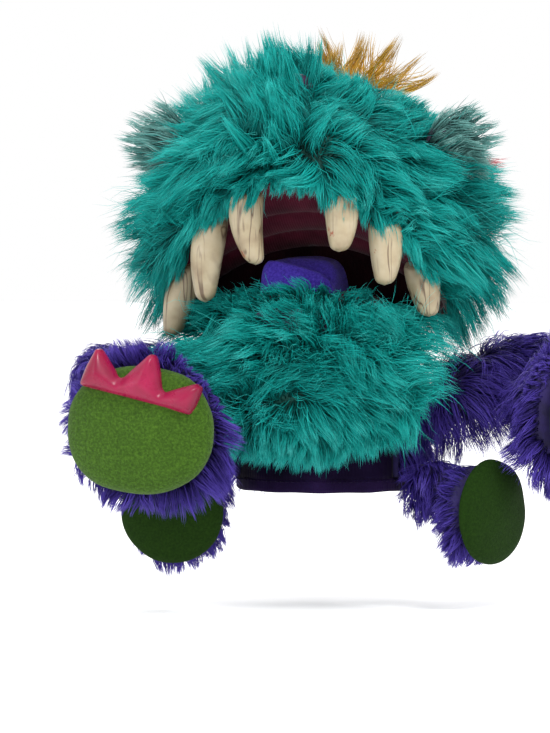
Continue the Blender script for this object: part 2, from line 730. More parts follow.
def box_mesh(name, low, high):
    x, y, z = zip(low, high)
    points = [(a, b, c) for a in x for b in y for c in z]
    faces = [(0, 1, 3, 2), (4, 6, 7, 5), (0, 4, 5, 1), (2, 3, 7, 6), (0, 2, 6, 4), (1, 5, 7, 3)]
    return fix_normals(make_mesh(name, points, faces, shade_smooth=False))


def neck_cutter():
    top = ball("dome", NECK, (40.5, 40.5, 40.5), 32, 48)
    flare = tube("flare", [(0, 0, 20), (0, 0, 92)], (57, 40.3), sides=48)
    return remesh(fuse("neck_cutter", top, flare), 2.5)


HEAD_BALLS = ((HEAD_C, HEAD_R), (MUZZLE_C, MUZZLE_R))


def make_head_skin():
    cranium = ball("cranium", HEAD_C, HEAD_R, 60, 90)
    muzzle = ball("muzzle", MUZZLE_C, MUZZLE_R, 60, 90)
    skin = remesh(fuse("head_skin", cranium, muzzle), 2.0, relax=3)
    floor = box_mesh("floor", (-150, -150, -50), (150, 150, 68))
    cut(skin, mouth_cutter(), neck_cutter(), floor)
    remesh(skin, 1.8, relax=3)
    wear(skin, TEAL_SKIN)
    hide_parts("head_plush", "head_foam")
    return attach(skin, "head")


def on_head(points):
    """True for the outer skin, false for the mouth's and the neck's walls."""
    levels = [np.linalg.norm((points - c) / r, axis=1) for c, r in HEAD_BALLS]
    return np.minimum(*levels) > 0.955


def head_flow(p):
    """Which way the head's pile lies, its length and how far it stands up."""
    x, y, z = p.T
    ones = np.ones_like(x)
    side = np.sign(x)
    above = z - palate_height(np.clip(x, -58, 58), y)
    # the silhouette: outwards all round, and up at the crown
    flow = unit(np.stack([1.1 * x, 0.15 * (y + 14), z - 112], 1)) + np.array((0, 0.2, 0))
    # the back: down
    back = smooth(y, 0, 30)[:, None]
    flow = flow * (1 - back) + np.stack([0.3 * x / 60, 0.3 * ones, -ones], 1) * back
    # the muzzle: sideways from the middle, and down towards the cheeks
    muzzle = (smooth(-y, 30, 58) * smooth(-z, -172, -150))[:, None]
    sideways = np.stack([side * (0.35 + np.abs(x) / 45), -0.1 * ones, 0.1 - np.abs(x) / 50], 1)
    flow = flow * (1 - muzzle) + sideways * muzzle
    # the cheeks: down and out
    cheek = (smooth(np.abs(x), 34, 54) * smooth(-z, -126, -96))[:, None]
    flow = flow * (1 - cheek) + np.stack([0.42 * side, -0.1 * ones, -1.0 * ones], 1) * cheek
    # the lip: hangs over the fangs' bases
    lip = (smooth(-above, -19, -7) * smooth(-y, 24, 40))
    hang = np.stack([0.5 * x / 50, -0.5 * ones, -0.85 * ones], 1)
    flow = flow * (1 - lip[:, None]) + hang * lip[:, None]
    flow = flow + swirl(p, 46, 5) * 0.5 + swirl(p, 20, 6) * 0.4
    crown = smooth(z, 146, 162) * (1 - back[:, 0]) * smooth(-x, -14, 4)
    short = smooth(x, -6, 14) * smooth(z, 132, 152)
    length = (31 - 13 * lip - 10 * back[:, 0] - 3 * crown + 6 * cheek[:, 0]) * (1 - 0.45 * short)
    lift = 0.33 + 0.08 * crown - 0.06 * lip - 0.08 * short
    return flow, length, lift


def make_head_fur(skin):
    roots, normals = scatter(skin, STRANDS["head_pile"], 11, on_head)
    flow, length, lift = head_flow(roots)
    rng = np.random.default_rng(12)
    length = length * rng.uniform(0.8, 1.12, len(roots))
    tone = 0.5 + 0.12 * swirl(roots, 50, 8)[:, 0]
    clear = outside_balls(*HEAD_BALLS)
    fur("head_pile", roots, normals, flow, length, "head", TEAL, 13, lift=lift, droop=0.45,
        curl=2.6, lock=28, clump=0.9, bunch=0.6, shade=tone, clear=clear, width=0.38)

    def crown(points):
        return on_head(points) & (points[:, 2] > 157) & (points[:, 0] < 4) & (points[:, 1] < 12)
    roots, normals = scatter(skin, STRANDS["crown_spikes"], 15, crown)
    comb = unit(roots - np.array((0, 0, 100))) + swirl(roots, 30, 16) * 0.35
    fur("crown_spikes", roots, normals, comb, 34, "head", TEAL, 17, lift=0.7, droop=0.0,
        curl=1.4, lock=85, clump=0.97, bunch=0.0, wild=0.03)

    def lip(points):
        x, y, z = points.T
        return on_head(points) & (y < -32) & (z - palate_height(np.clip(x, -60, 60), y) < 9)
    roots, normals = scatter(skin, STRANDS["lip_fringe"], 18, lip)
    comb = np.stack([roots[:, 0] / 90, np.full(len(roots), -0.2), np.full(len(roots), -1.0)], 1)
    comb += swirl(roots, 16, 19) * 0.35
    fang_x = np.array([fang[0] for fang in FANGS.values()])
    near_fang = smooth(-np.abs(roots[:, :1] - fang_x).min(axis=1), -9, -3)
    fur("lip_fringe", roots, normals, comb, 13 + 5 * near_fang, "head", TEAL, 20, lift=0.25,
        droop=0.5, curl=1.6, lock=16, bunch=0.4)

    def brow(points):
        near = np.hypot(points[:, 0] + 7, (points[:, 2] - 152) * 0.8) < 15
        return on_head(points) & near & (points[:, 1] < -40)
    roots, normals = scatter(skin, STRANDS["brow_pile"], 26, brow)
    comb = np.stack([roots[:, 0] / 40, np.full(len(roots), -0.15), np.full(len(roots), 1.0)], 1)
    comb += swirl(roots, 18, 27) * 0.3
    fur("brow_pile", roots, normals, comb, 25, "head", TEAL, 28, lift=0.45, droop=0.1, curl=2.0,
        lock=60, clump=0.95, bunch=0.0)
    add_strays(skin, "head_strays", "head", on_head, head_flow, STRANDS["head_strays"], 23)


def add_strays(skin, name, body, keep, flow_of, count, seed):
    """Long fine pale hairs that cross the pile."""
    roots, normals = scatter(skin, count, seed, lambda points: keep(points) & (points[:, 1] < 10))
    flow, length, lift = flow_of(roots)
    flow = flow + swirl(roots, 12, seed + 1) * 1.6
    fur(name, roots, normals, flow, length * 1.15, body, TEAL, seed + 2, lift=lift + 0.25, droop=0.7,
        curl=5.0, lock=2, clump=0.2, bunch=0.0, width=0.26, shade=0.85)


# ------------------------------------------------------------ mouth
def mouth_cloth(name, half, length, height, puff, thick, rows=40, cols=72):
    """A cloth on a horseshoe board; height(x, y) is the board's face."""
    sheets = []
    for side in (0, 1):
        for i in range(rows + 1):
            rho = (i / rows) ** 0.8
            for j in range(cols + 1):
                phi = math.pi * (j / cols - 0.5)
                x = half * rho * math.sin(phi)
                y = MOUTH_Y - length * rho * math.cos(phi)
                edge = 1 - rho**10
                z = height(x, y) + (puff(x, y) * edge + thick if side else 0)
                sheets.append((x, y, z))
    one = (rows + 1) * (cols + 1)
    faces = grid_faces(rows + 1, cols + 1)
    back = [tuple(one + i for i in reversed(f)) for f in faces]
    edge = [i * (cols + 1) for i in range(rows, 0, -1)] + [0]
    edge += [i * (cols + 1) + cols for i in range(1, rows + 1)]
    edge += [rows * (cols + 1) + j for j in range(cols - 1, 0, -1)]
    walls = []
    for a, b in zip(edge, edge[1:] + edge[:1]):
        walls.append((a, b, one + b, one + a))
    return make_mesh(name, sheets, faces + back + walls)


def make_mouth():
    def roof_puff(x, y):
        band = abs(math.sin((y + 20) * math.pi / 17 + 0.25 * math.sin(x / 14)))
        return -2.6 * math.sqrt(band)

    def floor_puff(x, y):
        return 1.0 + 0.8 * math.sin(x / 9) * math.sin(y / 8)

    roof = mouth_cloth("palate_cloth", 57, 55.5, lambda x, y: palate_height(x, y, 1.1), roof_puff, -1.2)
    floor = mouth_cloth("jaw_cloth", 44.0, 40.0, lambda x, y: jaw_height(x, y, -1.6), floor_puff, 1.2)
    for obj, node, body in ((roof, "palate_lining", "head"), (floor, "jaw_lining", "jaw")):
        fix_normals(obj)
        wear(obj, WINE)
        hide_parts(node)
        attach(obj, body)
        declare_sheet(obj)
    make_throat()


def throat_path(t, side_x, front_y):
    """A horseshoe from one corner of the mouth round the back to the other."""
    if abs(t) < 0.6:
        return side_x * t / 0.6, -23.5
    return side_x * math.copysign(1, t), -23.5 - (abs(t) - 0.6) / 0.4 * (-23.5 - front_y)


def make_throat():
    rows, cols, thick = 14, 80, 0.9
    points = []
    for layer in (0, 1):
        for i in range(rows + 1):
            s = i / rows
            for j in range(cols + 1):
                t = 2 * j / cols - 1
                ux, uy = throat_path(t, 57, -46)
                lx, ly = throat_path(t, 44, -42)
                x, y = ux * (1 - s) + lx * s, uy * (1 - s) + ly * s
                fold = 1.6 * math.sin(t * 34) * math.sin(math.pi * s)
                out = 1 + (4 * math.sin(math.pi * s) + fold + layer * thick) / 60
                top = palate_height(ux, uy) + 0.6
                low = jaw_height(lx, ly) - 0.6
                points.append((x * out, y + (2.0 * math.sin(math.pi * s) * 0.3 if abs(t) < 0.6 else 0)
                               + layer * thick * (abs(t) < 0.6), top * (1 - s) + low * s))
    obj = two_layer_mesh("throat_cloth", points, rows, cols)
    wear(obj, THROAT)
    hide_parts("mouth_gusset")
    declare_sheet(obj)
    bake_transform(obj)


# fang bases and tips: base x, y, then tip x, y, z
FANGS = {
    "fang_inner_right": (-17.5, -75, -13.5, -79, 98),
    "fang_inner_left": (21.0, -75, 22.0, -79, 103.5),
    "fang_middle_right": (-34.5, -66, -37.5, -70, 82),
    "fang_middle_left": (38.0, -66, 39.5, -70, 89.5),
    "fang_outer_right": (-49.0, -47, -56.5, -51, 67),
    "fang_outer_left": (49.5, -47, 55.0, -51, 76),
}


def make_fang(name):
    """A blunt, slightly bowed tooth that bulges away from the mouth's middle."""
    bx, by, tx, ty, tz = FANGS[name]
    top = palate_height(bx, by) + 5.0
    rings, sides = 32, 28
    side = 1 if bx > 0 else -1
    points = []
    for i in range(rings + 1):
        t = i / rings
        bend = t**1.8
        bow = math.sin(math.pi * t)
        x = bx + (tx - bx) * bend + side * bow * 1.6
        root = max(0.0, 1 - t / 0.22)
        y = by + (ty - by) * bend - bow * 1.2 + 7.0 * root**1.5
        z = top + (tz - 2.9 - top) * t
        blunt = math.sqrt(max(0.0, 1 - max(0.0, (t - 0.9) / 0.1) ** 2))
        width = (5.6 + 5.6 * t * (1 - t) - 2.3 * t**2 + 0.6 * (1 - t) - 2.4 * root**2) * blunt
        for j in range(sides):
            a = 2 * math.pi * j / sides
            r = width * (1 + 0.05 * math.cos(2 * a + 0.6) + 0.02 * math.sin(5 * a + 7 * t))
            points.append((x + r * math.cos(a), y + r * math.sin(a) * 0.94, z))
    faces = grid_faces(rings + 1, sides, closed=True)
    faces.append(tuple(range(sides)))
    obj = fix_normals(make_mesh(name + "_tooth", points, faces))
    wear(obj, IVORY)
    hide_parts(name)
    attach(obj, "head")


def make_tongue():
    """A flat fleece tongue with one rolled ridge that snakes along it."""
    rows, cols = 36, 40
    points = []
    for layer in (0, 1):
        for i in range(rows + 1):
            v = i / rows
            for j in range(cols + 1):
                u = 2 * j / cols - 1
                y = -33 - 31 * v
                wide = 17.5 * (1 - 0.10 * v) * (1 - 0.25 * smooth(np.array(v), 0.85, 1.0) * abs(u) ** 3)
                x = wide * u
                base = jaw_height(x, y) + 1.4
                if layer == 0:
                    points.append((x, y, base))
                    continue
                edge = (1 - abs(u) ** 8) * (1 - (2 * v - 1) ** 10)
                front = 12.5 - 4.6 * (u + 1)
                behind = float(smooth(np.array(v), 0.5, 0.84))
                roll = 3.4 * math.exp(-((v - 0.88) / 0.06) ** 2)
                tall = 13.0 * (1 - behind) + front * behind + roll
                points.append((x, y, base + max(0.4, tall * edge ** 0.5)))
    obj = two_layer_mesh("tongue_fleece", points, rows, cols)
    ruffle(obj, 14, 0.5, 31)
    subdivide(obj)
    wear(obj, VIOLET)
    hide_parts("tongue")
    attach(obj, "tongue")


# ------------------------------------------------------------ chin
def make_chin_skin():
    body = ball("chin_ball", CHIN_C, CHIN_R, 40, 60)
    lip = mouth_cloth("lip", 47, 43, lambda x, y: jaw_height(x, y, -1.4), lambda x, y: -20.0, -8.0, 12, 48)
    fix_normals(lip)
    skin = remesh(fuse("chin_skin", body, lip), 1.8, relax=6)
    wear(skin, TEAL_SKIN)
    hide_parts("chin_plush", "chin_foam")
    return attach(skin, "jaw")


def chin_flow(p):
    """Up and over at the lip, swirling in the middle, down at the hem."""
    z = p[:, 2]
    ones = np.ones_like(z)
    rel = (p - CHIN_C) / CHIN_R
    top = smooth(z, 64, 76)[:, None]
    low = smooth(-z, -44, -28)[:, None]
    hang = np.stack([0.9 * rel[:, 0], -0.2 * ones, -1 * ones], 1)
    middle = np.stack([1.0 * rel[:, 0], -0.2 * ones, -0.25 * ones], 1)
    over = np.stack([0.5 * rel[:, 0] + 0.9 * rel[:, 0] ** 3, -0.6 * ones, 0.9 * ones], 1)
    flow = middle * (1 - low) + hang * low
    flow = flow * (1 - top) + over * top
    swirls = swirl(p, 44, 21) * 1.0 + swirl(p, 18, 22) * 0.45
    flow = flow + swirls * (1 - 0.5 * low) * (1 - 0.5 * top)
    sides = smooth(np.abs(rel[:, 0]), 0.6, 0.95)
    length = 29 - 13 * top[:, 0] - 13 * low[:, 0] + 3 * sides
    lift = 0.40 + 0.15 * top[:, 0] - 0.08 * low[:, 0]
    return flow, length, lift


def make_chin_fur(skin):
    def keep(points):
        lining = points[:, 2] > jaw_height(points[:, 0], points[:, 1]) - 6
        inner = np.abs(points[:, 0] / 43.5) ** 2 + ((points[:, 1] - MOUTH_Y) / 39.5) ** 2 < 1
        return ~(lining & inner) & (points[:, 1] < -34)
    roots, normals = scatter(skin, STRANDS["chin_pile"], 41, keep)
    flow, length, lift = chin_flow(roots)
    rng = np.random.default_rng(42)
    length = length * rng.uniform(0.8, 1.15, len(roots))
    tone = 0.55 + 0.13 * swirl(roots, 40, 28)[:, 0]
    clear = outside_balls((CHIN_C, CHIN_R))
    add_strays(skin, "chin_strays", "jaw", keep, chin_flow, STRANDS["chin_strays"], 33)
    fur("chin_pile", roots, normals, flow, length, "jaw", TEAL, 43, lift=lift, droop=0.6,
        curl=3.2, lock=24, bunch=0.55, shade=tone, clear=clear, width=0.38)


# ------------------------------------------------------------ sleeve
def arc_cloth(name, r_in, r_out, low, high, start, stop, wave=0.0, steps=90, rows=30):
    """A curved panel round Z, between two angles measured from straight ahead."""
    points = []
    for layer in (0, 1):
        for i in range(rows + 1):
            z = low + (high - low) * i / rows
            for j in range(steps + 1):
                a = math.radians(start + (stop - start) * j / steps)
                r = (r_in, r_out)[layer]
                if layer and wave:
                    r += wave * (math.sin(a * 9 + z / 7) + 0.6 * math.sin(a * 17 - z / 5))
                points.append((r * math.sin(a), -r * math.cos(a), z))
    return two_layer_mesh(name, points, rows, steps)


def make_sleeve():
    front = arc_cloth("sleeve_front_knit", 36.1, 38.3, 2.6, 60, -62, 62, wave=0.35)
    wear(front, DARK_KNIT)
    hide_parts("sleeve_front")
    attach(front, "sleeve")
    collar = arc_cloth("neck_collar_knit", 36.1, 38.1, 50.2, 80, 62.5, 297.5, wave=0.2)
    wear(collar, PURPLE_SKIN)
    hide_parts("neck_collar")
    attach(collar, "sleeve")
    roots, normals = scatter(collar, STRANDS["collar_pile"], 55, lambda p: np.hypot(p[:, 0], p[:, 1]) > 37.4)
    fall = np.array((0, 0, -1.0)) + swirl(roots, 20, 56) * 0.4
    fur("collar_pile", roots, normals, fall, 10, "sleeve", PURPLE, 57, lift=0.16, droop=0.2,
        curl=1.4, lock=16, width=0.4)
    lining = make_lining()
    wear(lining, LINING)
    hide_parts("sleeve_lining")
    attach(lining, "sleeve")
    make_hem()
    for cloth in (front, collar, lining):
        declare_sheet(cloth)
    back = arc_cloth("sleeve_back_skin", 36.2, 40.5, 3.2, 49, 62.5, 297.5)
    wear(back, PURPLE_SKIN)
    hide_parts("sleeve_back")
    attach(back, "sleeve")

    def outer(points):
        return np.hypot(points[:, 0], points[:, 1]) > 39.5
    roots, normals = scatter(back, STRANDS["sleeve_pile"], 51, outer)
    flow = np.array((0, 0, -1.0)) + swirl(roots, 26, 52) * 0.7
    fur("sleeve_pile", roots, normals, flow, 16, "sleeve", PURPLE, 53, lift=0.5, droop=0.5,
        curl=2.0, lock=16, width=0.4)


def make_lining():
    """The tube the hand slides up, cut lower at the front."""
    rows, cols = 40, 120
    points = []
    for r in (34.5, 35.9):
        for i in range(rows + 1):
            for j in range(cols):
                a = 2 * math.pi * j / cols
                y = -math.cos(a)
                top = 80 - 20 * float(smooth(np.array(-y * 36), 2, 12))
                z = 3.1 + (top - 3.1) * i / rows
                ripple = 0.15 * math.sin(a * 14 + z / 6) if r > 35 else 0
                points.append(((r + ripple) * math.sin(a), (r + ripple) * y, z))
    one = (rows + 1) * cols
    faces = [tuple(reversed(f)) for f in grid_faces(rows + 1, cols, closed=True)]
    faces += grid_faces(rows + 1, cols, closed=True, start=one)
    for edge in (0, rows * cols):
        for j in range(cols):
            k = (j + 1) % cols
            faces.append((edge + j, edge + k, one + edge + k, one + edge + j))
    return fix_normals(make_mesh("sleeve_lining_knit", points, faces))


def make_hem():
    """The hem's rolled binding, with its line of stitches."""
    rows, cols = 20, 180
    points = []
    for j in range(cols):
        a = 2 * math.pi * j / cols
        pucker = 0.18 * math.sin(a * 45) + 0.25 * math.sin(a * 7 + 1)
        for i in range(rows):
            b = 2 * math.pi * i / rows
            half_t, half_h = 2.0, 3.0 + 0.12 * math.sin(a * 11)
            groove = -0.35 * math.exp(-((math.sin(b) - 0.55) / 0.12) ** 2) * (math.cos(b) > 0)
            r = 36.55 + (half_t + groove) * max(-1, min(1, 1.25 * math.cos(b)))
            r += pucker * max(0, math.cos(b)) * 0.6
            z = half_h * max(-1, min(1, 1.15 * math.sin(b)))
            points.append((r * math.sin(a), -r * math.cos(a), z))
    faces = []
    for j in range(cols):
        k = (j + 1) % cols
        for i in range(rows):
            m = (i + 1) % rows
            faces.append((j * rows + i, j * rows + m, k * rows + m, k * rows + i))
    hem = fix_normals(make_mesh("hem_binding", points, faces))
    wear(hem, BINDING)
    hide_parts("hem_band")
    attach(hem, "sleeve")
    declare_sheet(hem, [make_stitches()])


def make_stitches():
    """Thread stitches round the hem, a row near its upper edge."""
    objs = []
    count = 96
    for j in range(count):
        a0 = 2 * math.pi * (j + 0.18) / count
        a1 = 2 * math.pi * (j + 0.78) / count
        path = []
        for k in range(5):
            a = a0 + (a1 - a0) * k / 4
            r = 38.45 + 0.18 * math.sin(math.pi * k / 4)
            path.append((r * math.sin(a), -r * math.cos(a), 1.7))
        objs.append(tube("stitch", path, 0.22, sides=6))
    thread = fuse("hem_stitches", *objs)
    wear(thread, BINDING)
    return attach(thread, "sleeve")


# ------------------------------------------------------------ limbs
ARMS = {
    "right": ((-58.6, -10, 40), (-87, -46, 48), (-54.5, -87, 33), -3.0),
    "left": ((58.6, -10, 40), (88, 22, 50), (101, -15, 38), 62.0),
}
LEGS = {
    "right": ((-50.5, -29.5, 2), (-55, -62, -10), 0.0),
    "left": ((52.5, -26, 2), (85, -40, -10), 62.0),
}


def limb_path(points, steps=24):
    """A smooth path through three points."""
    a, b, c = (np.array(p, float) for p in points)
    out = []
    for i in range(steps + 1):
        t = i / steps
        out.append((1 - t) ** 2 * a + 2 * t * (1 - t) * (2 * b - (a + c) / 2) + t * t * c)
    return np.array(out)


def make_arm(side):
    shoulder, elbow, wrist, _ = ARMS[side]
    path = limb_path((shoulder, elbow, wrist))
    start, end = path[0], path[-1]
    body = tube("arm", path, 9.5)
    knobs = [ball("knob", p, (9.5,) * 3, 16, 24) for p in (start, end)]
    skin = remesh(fuse(f"arm_{side}_skin", body, *knobs), 1.8, relax=4)
    ruffle(skin, 22, 0.6, 61)
    wear(skin, PURPLE_SKIN)
    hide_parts(f"arm_{side}")
    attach(skin, f"arm_{side}")
    roots, normals = scatter(skin, STRANDS["arm_pile"], 62 + SIDES[side])
    way = unit(np.gradient(path, axis=0))[nearest(roots, path)]
    flow = way * 0.9 + np.array((0, 0, -0.5)) + swirl(roots, 24, 63) * 0.7
    shoulder_end = smooth(-np.linalg.norm(roots - np.array(shoulder), axis=1), -40, -15)
    length = 19 + 6 * shoulder_end + (4 if side == "left" else 0)
    fur(f"arm_{side}_pile", roots, normals, flow, length, f"arm_{side}", PURPLE, 64 + SIDES[side],
        lift=0.55, droop=1.2, curl=2.0, lock=16, width=0.4)


def paw_matrix(side):
    wrist, yaw = ARMS[side][2], ARMS[side][3]
    return mm_matrix(wrist, turn_z=yaw) @ mm_matrix((0, -13, -3))


def make_paw(side):
    place = paw_matrix(side)
    body = f"paw_{side}"
    skin = ball(f"paw_{side}_skin", (0, 0, -2), (30.5, 10.5, 28), 30, 48)
    move(skin, place)
    dent = ball("dent", ARMS[side][2], (11.4,) * 3, 16, 24)
    cut(skin, dent)
    remesh(skin, 1.8, relax=3)
    wear(skin, PURPLE_SKIN)
    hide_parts(f"paw_plush_{side}")
    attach(skin, body)

    back = np.array(place.inverted())
    turn = back[:3, :3]
    shift = back[:3, 3] / MM

    def local(points):
        return points @ turn.T + shift

    def uncovered(points):
        q = local(points)
        pad = (q[:, 0] / 29) ** 2 + ((q[:, 2] + 3) / 24) ** 2 < 1
        near_wrist = np.linalg.norm(points - np.array(ARMS[side][2]), axis=1) < 12.5
        return ~(pad & (q[:, 1] < 0)) & ~near_wrist
    roots, normals = scatter(skin, STRANDS["paw_pile"], 71 + SIDES[side], uncovered)
    q = local(roots)
    spread = unit(np.stack([q[:, 0], 0 * q[:, 0] + 4, q[:, 2] + 3], 1)) @ turn
    flow = spread + np.array((0, 0, -0.25)) + swirl(roots, 24, 72) * 0.55
    inward = smooth(-SIDES[side] * q[:, 0], 4, 18)
    length = 13 - 9 * inward * smooth(q[:, 2], -2, 8) + 6 * inward * smooth(-q[:, 2], 2, 14)
    fur(f"paw_{side}_pile", roots, normals, flow, length, body, PURPLE, 73 + SIDES[side], lift=0.3,
        droop=0.4, curl=2.0, lock=16, width=0.4)
    make_pad(side, place, body)
    make_claws(side, place, body)


def dome(name, half_w, half_h, depth, back, rings=26, sides=72, square=2.3):
    """A crowned pad facing -Y, with its widest line near the back."""
    points = [(0, -depth, 0)]
    levels = []
    for i in range(1, rings + 1):
        t = i / rings
        levels.append((math.sin(t * math.pi / 2), -depth * math.cos(t * math.pi / 2) ** 0.9))
    for i in range(1, 9):
        t = i / 8
        levels.append((1 - 0.28 * t, back * math.sin(t * math.pi / 2)))
    for rho, y in levels:
        for j in range(sides):
            a = 2 * math.pi * j / sides
            c, s = math.cos(a), math.sin(a)
            r = (abs(c) ** square + abs(s) ** square) ** (-1 / square)
            points.append((half_w * rho * r * c, y, half_h * rho * r * s))
    faces = grid_faces(len(levels), sides, closed=True, start=1)
    for j in range(sides):
        faces.append((0, 1 + j, 1 + (j + 1) % sides))
    last = 1 + (len(levels) - 1) * sides
    faces.append(tuple(last + j for j in range(sides)))
    return fix_normals(make_mesh(name, points, faces))


def make_pad(side, place, body):
    pad = dome(f"paw_{side}_fleece", 31.5, 26.5, 8.5, 4)
    move(pad, place @ mm_matrix((0, -10.5, -3)))
    puff_up(pad)
    wear(pad, LIME)
    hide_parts(f"paw_pad_{side}")
    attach(pad, body)


def puff_up(obj, pressure=4.0, most=3.0):
    """Blows a pad up as cloth, and keeps what it did to the shape."""
    ruffle(obj, 16, 0.35, 81)
    before = np.empty(len(obj.data.vertices) * 3)
    obj.data.vertices.foreach_get("co", before)
    m = obj.modifiers.new("cloth", "CLOTH")
    s = m.settings
    s.use_pressure = True
    s.uniform_pressure_force = pressure
    s.effector_weights.gravity = 0
    s.quality = 6
    s.tension_stiffness = 40
    s.compression_stiffness = 40
    s.bending_stiffness = 2
    m.point_cache.frame_start = 1
    m.point_cache.frame_end = 20
    scene = bpy.context.scene
    for f in range(1, 21):
        scene.frame_set(f)
    bake_modifiers(obj)
    scene.frame_set(1)
    after = np.empty(len(obj.data.vertices) * 3)
    obj.data.vertices.foreach_get("co", after)
    step = (after - before).reshape(-1, 3)
    far = np.linalg.norm(step, axis=1, keepdims=True)
    step *= np.minimum(1, most * MM / np.maximum(far, 1e-9))
    obj.data.vertices.foreach_set("co", before + step.ravel())
    obj.data.update()
    return obj


# the claw strip's outline: along it and up it, from the mitten's centre
CLAW_OUTLINE = ((-28, 9), (-27, 17), (-24.5, 26), (-22.5, 26), (-11.3, 15.5), (-1.5, 29.5), (1.0, 29.5),
                (8.1, 15.5), (20.5, 22.5), (23.5, 21.5), (23, 14), (21.5, 9))
CLAW_ROLL = 14.3         # degrees
CLAW_BACK = -12.5        # y of the strip's flat back
CLAW_DEPTH = 9.5


def edge_distance(x, z, outline):
    """Distance from a point to the nearest side of a closed outline."""
    best = 1e9
    for (x0, z0), (x1, z1) in zip(outline, outline[1:] + outline[:1]):
        dx, dz = x1 - x0, z1 - z0
        t = max(0.0, min(1.0, ((x - x0) * dx + (z - z0) * dz) / (dx * dx + dz * dz)))
        best = min(best, math.hypot(x - x0 - t * dx, z - z0 - t * dz))
    return best


def make_claws(side, place, body):
    """Three broad claws that rise from one band over the top of the pad."""
    flip = -SIDES[side]
    outline = [(x * flip, z) for x, z in CLAW_OUTLINE]
    count = len(outline)
    points = [(x, y, z) for y in (CLAW_BACK, CLAW_BACK - CLAW_DEPTH) for x, z in outline]
    faces = [tuple(range(count)), tuple(reversed(range(count, 2 * count)))]
    faces += [(i, (i + 1) % count, count + (i + 1) % count, count + i) for i in range(count)]
    claws = fix_normals(make_mesh(f"claws_{side}_vinyl", points, faces))
    remesh(claws, 0.8, relax=5)
    for v in claws.data.vertices:
        depth = (CLAW_BACK - v.co.y / MM) / CLAW_DEPTH
        inside = edge_distance(v.co.x / MM, v.co.z / MM, outline)
        v.co.y = (CLAW_BACK - depth * (3.6 + 2.7 * math.sqrt(min(inside, 8.0)))) * MM
    soften = claws.modifiers.new("soften", "SMOOTH")
    soften.factor = 0.5
    soften.iterations = 10
    bake_modifiers(claws)
    subdivide(claws)
    roll = Matrix.Rotation(math.radians(CLAW_ROLL * flip), 4, "Y")
    move(claws, place @ roll)
    wear(claws, PINK)
    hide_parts(f"claw_strip_{side}")
    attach(claws, body)


def make_leg(side):
    hip, sole, yaw = LEGS[side]
    place = mm_matrix(sole, turn_z=yaw)
    ankle = np.array(place @ Vector((0, 0.012, 0))) / MM
    path = np.linspace(hip, ankle, 12)
    parts = [tube("leg", path, 8.5), ball("knob", hip, (8.5,) * 3, 16, 24)]
    foot = ball("foot", (0, 13, 0), (20, 8.5, 20), 24, 36)
    parts.append(move(foot, place))
    skin = remesh(fuse(f"leg_{side}_skin", *parts), 1.8, relax=4)
    wear(skin, PURPLE_SKIN)
    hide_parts(f"leg_{side}")
    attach(skin, f"leg_{side}")
    turn = np.array(place.to_3x3())
    ahead = -turn[:, 1]

    def off_sole(points):
        return (points - np.array(sole)) @ ahead < -7.5
    roots, normals = scatter(skin, STRANDS["leg_pile"], 91 + SIDES[side], off_sole)
    way = unit(ankle - np.array(hip))
    near_foot = smooth(-np.linalg.norm(roots - ankle, axis=1), -30, -20)[:, None]
    round_foot = 0.35 * unit(roots - ankle) - 1.2 * ahead
    flow = way * 0.5 * (1 - near_foot) + round_foot * near_foot + np.array((0, 0, -0.5))
    flow = flow + swirl(roots, 22, 92) * 0.5
    fur(f"leg_{side}_pile", roots, normals, flow, 19 - 8 * near_foot[:, 0], f"leg_{side}", PURPLE,
        93 + SIDES[side], lift=0.5 - 0.35 * near_foot[:, 0], droop=0.6, curl=2.0, lock=16,
        width=0.4)
    pad = dome(f"sole_{side}_fleece", 22.5, 22.5, 6.5, 3, square=2.0)
    move(pad, place @ mm_matrix((0, 6.2, 0)))
    puff_up(pad)
    wear(pad, GREEN)
    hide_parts(f"sole_{side}")
    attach(pad, f"leg_{side}")


# ------------------------------------------------------------ face trim
def make_tuft(name, node, centre, radii, flow, length, material, count, seed, width=0.42,
              lift=0.5, lock=12, curl=1.6, skin_material=GREY_SKIN):
    skin = ball(f"{name}_skin", centre, radii, 18, 28)
    wear(skin, skin_material)
    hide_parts(node)
    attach(skin, "head")
    roots, normals = scatter(skin, count, seed)
    comb = np.broadcast_to(np.array(flow, float), roots.shape) + swirl(roots, 14, seed) * 0.5
    fur(f"{name}_pile", roots, normals, comb, length, "head", material, seed + 1, lift=lift,
        droop=0.2, curl=curl, lock=lock, width=width)


def make_crest():
    """A fan of pointed golden locks at the back of the crown."""
    middle = np.array((6, 26, 166.0))
    skin = ball("crest_skin", middle, (14, 4.5, 4), 18, 28)
    wear(skin, TEAL_SKIN)
    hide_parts("crest_tuft")
    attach(skin, "head")
    roots, normals = scatter(skin, STRANDS["crest_pile"], 101, lambda points: points[:, 2] > middle[2] - 2)
    fan = (roots - middle) * np.array((0.085, 0.03, 0)) + np.array((0.2, -0.15, 1.0))
    fur("crest_pile", roots, normals, fan + swirl(roots, 9, 104) * 0.45, 32, "head", GOLD, 102,
        lift=0.1, droop=0.0, curl=0.8, lock=45, clump=0.985, bunch=0.0, width=0.42, wild=0.01)


def make_face():
    make_crest()
    for side, s in SIDES.items():
        make_tuft(f"side_hair_{side}", f"side_tuft_{side}", (s * 53, 28, 127), (6, 7, 17),
                  (s * 1.0, 0.2, -0.25), 20, RED, STRANDS["side_hair"],
                  103 + s, width=0.5, lift=0.4)
        make_tuft(f"ear_{side}", f"ear_{side}", (s * 60, -31, 146), (10, 5.5, 10), (s * 1.0, -0.1, 0.25),
                  17, GREY, STRANDS["ear"], 107 + s, lift=0.35)
        make_eye(side, s)
    nose = ball("nose_vinyl", (-6, -42, 168.5), (10, 8, 8), 28, 40)
    ruffle(nose, 11, 0.25, 110)
    wear(nose, PLUM)
    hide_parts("nose")
    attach(nose, "head")


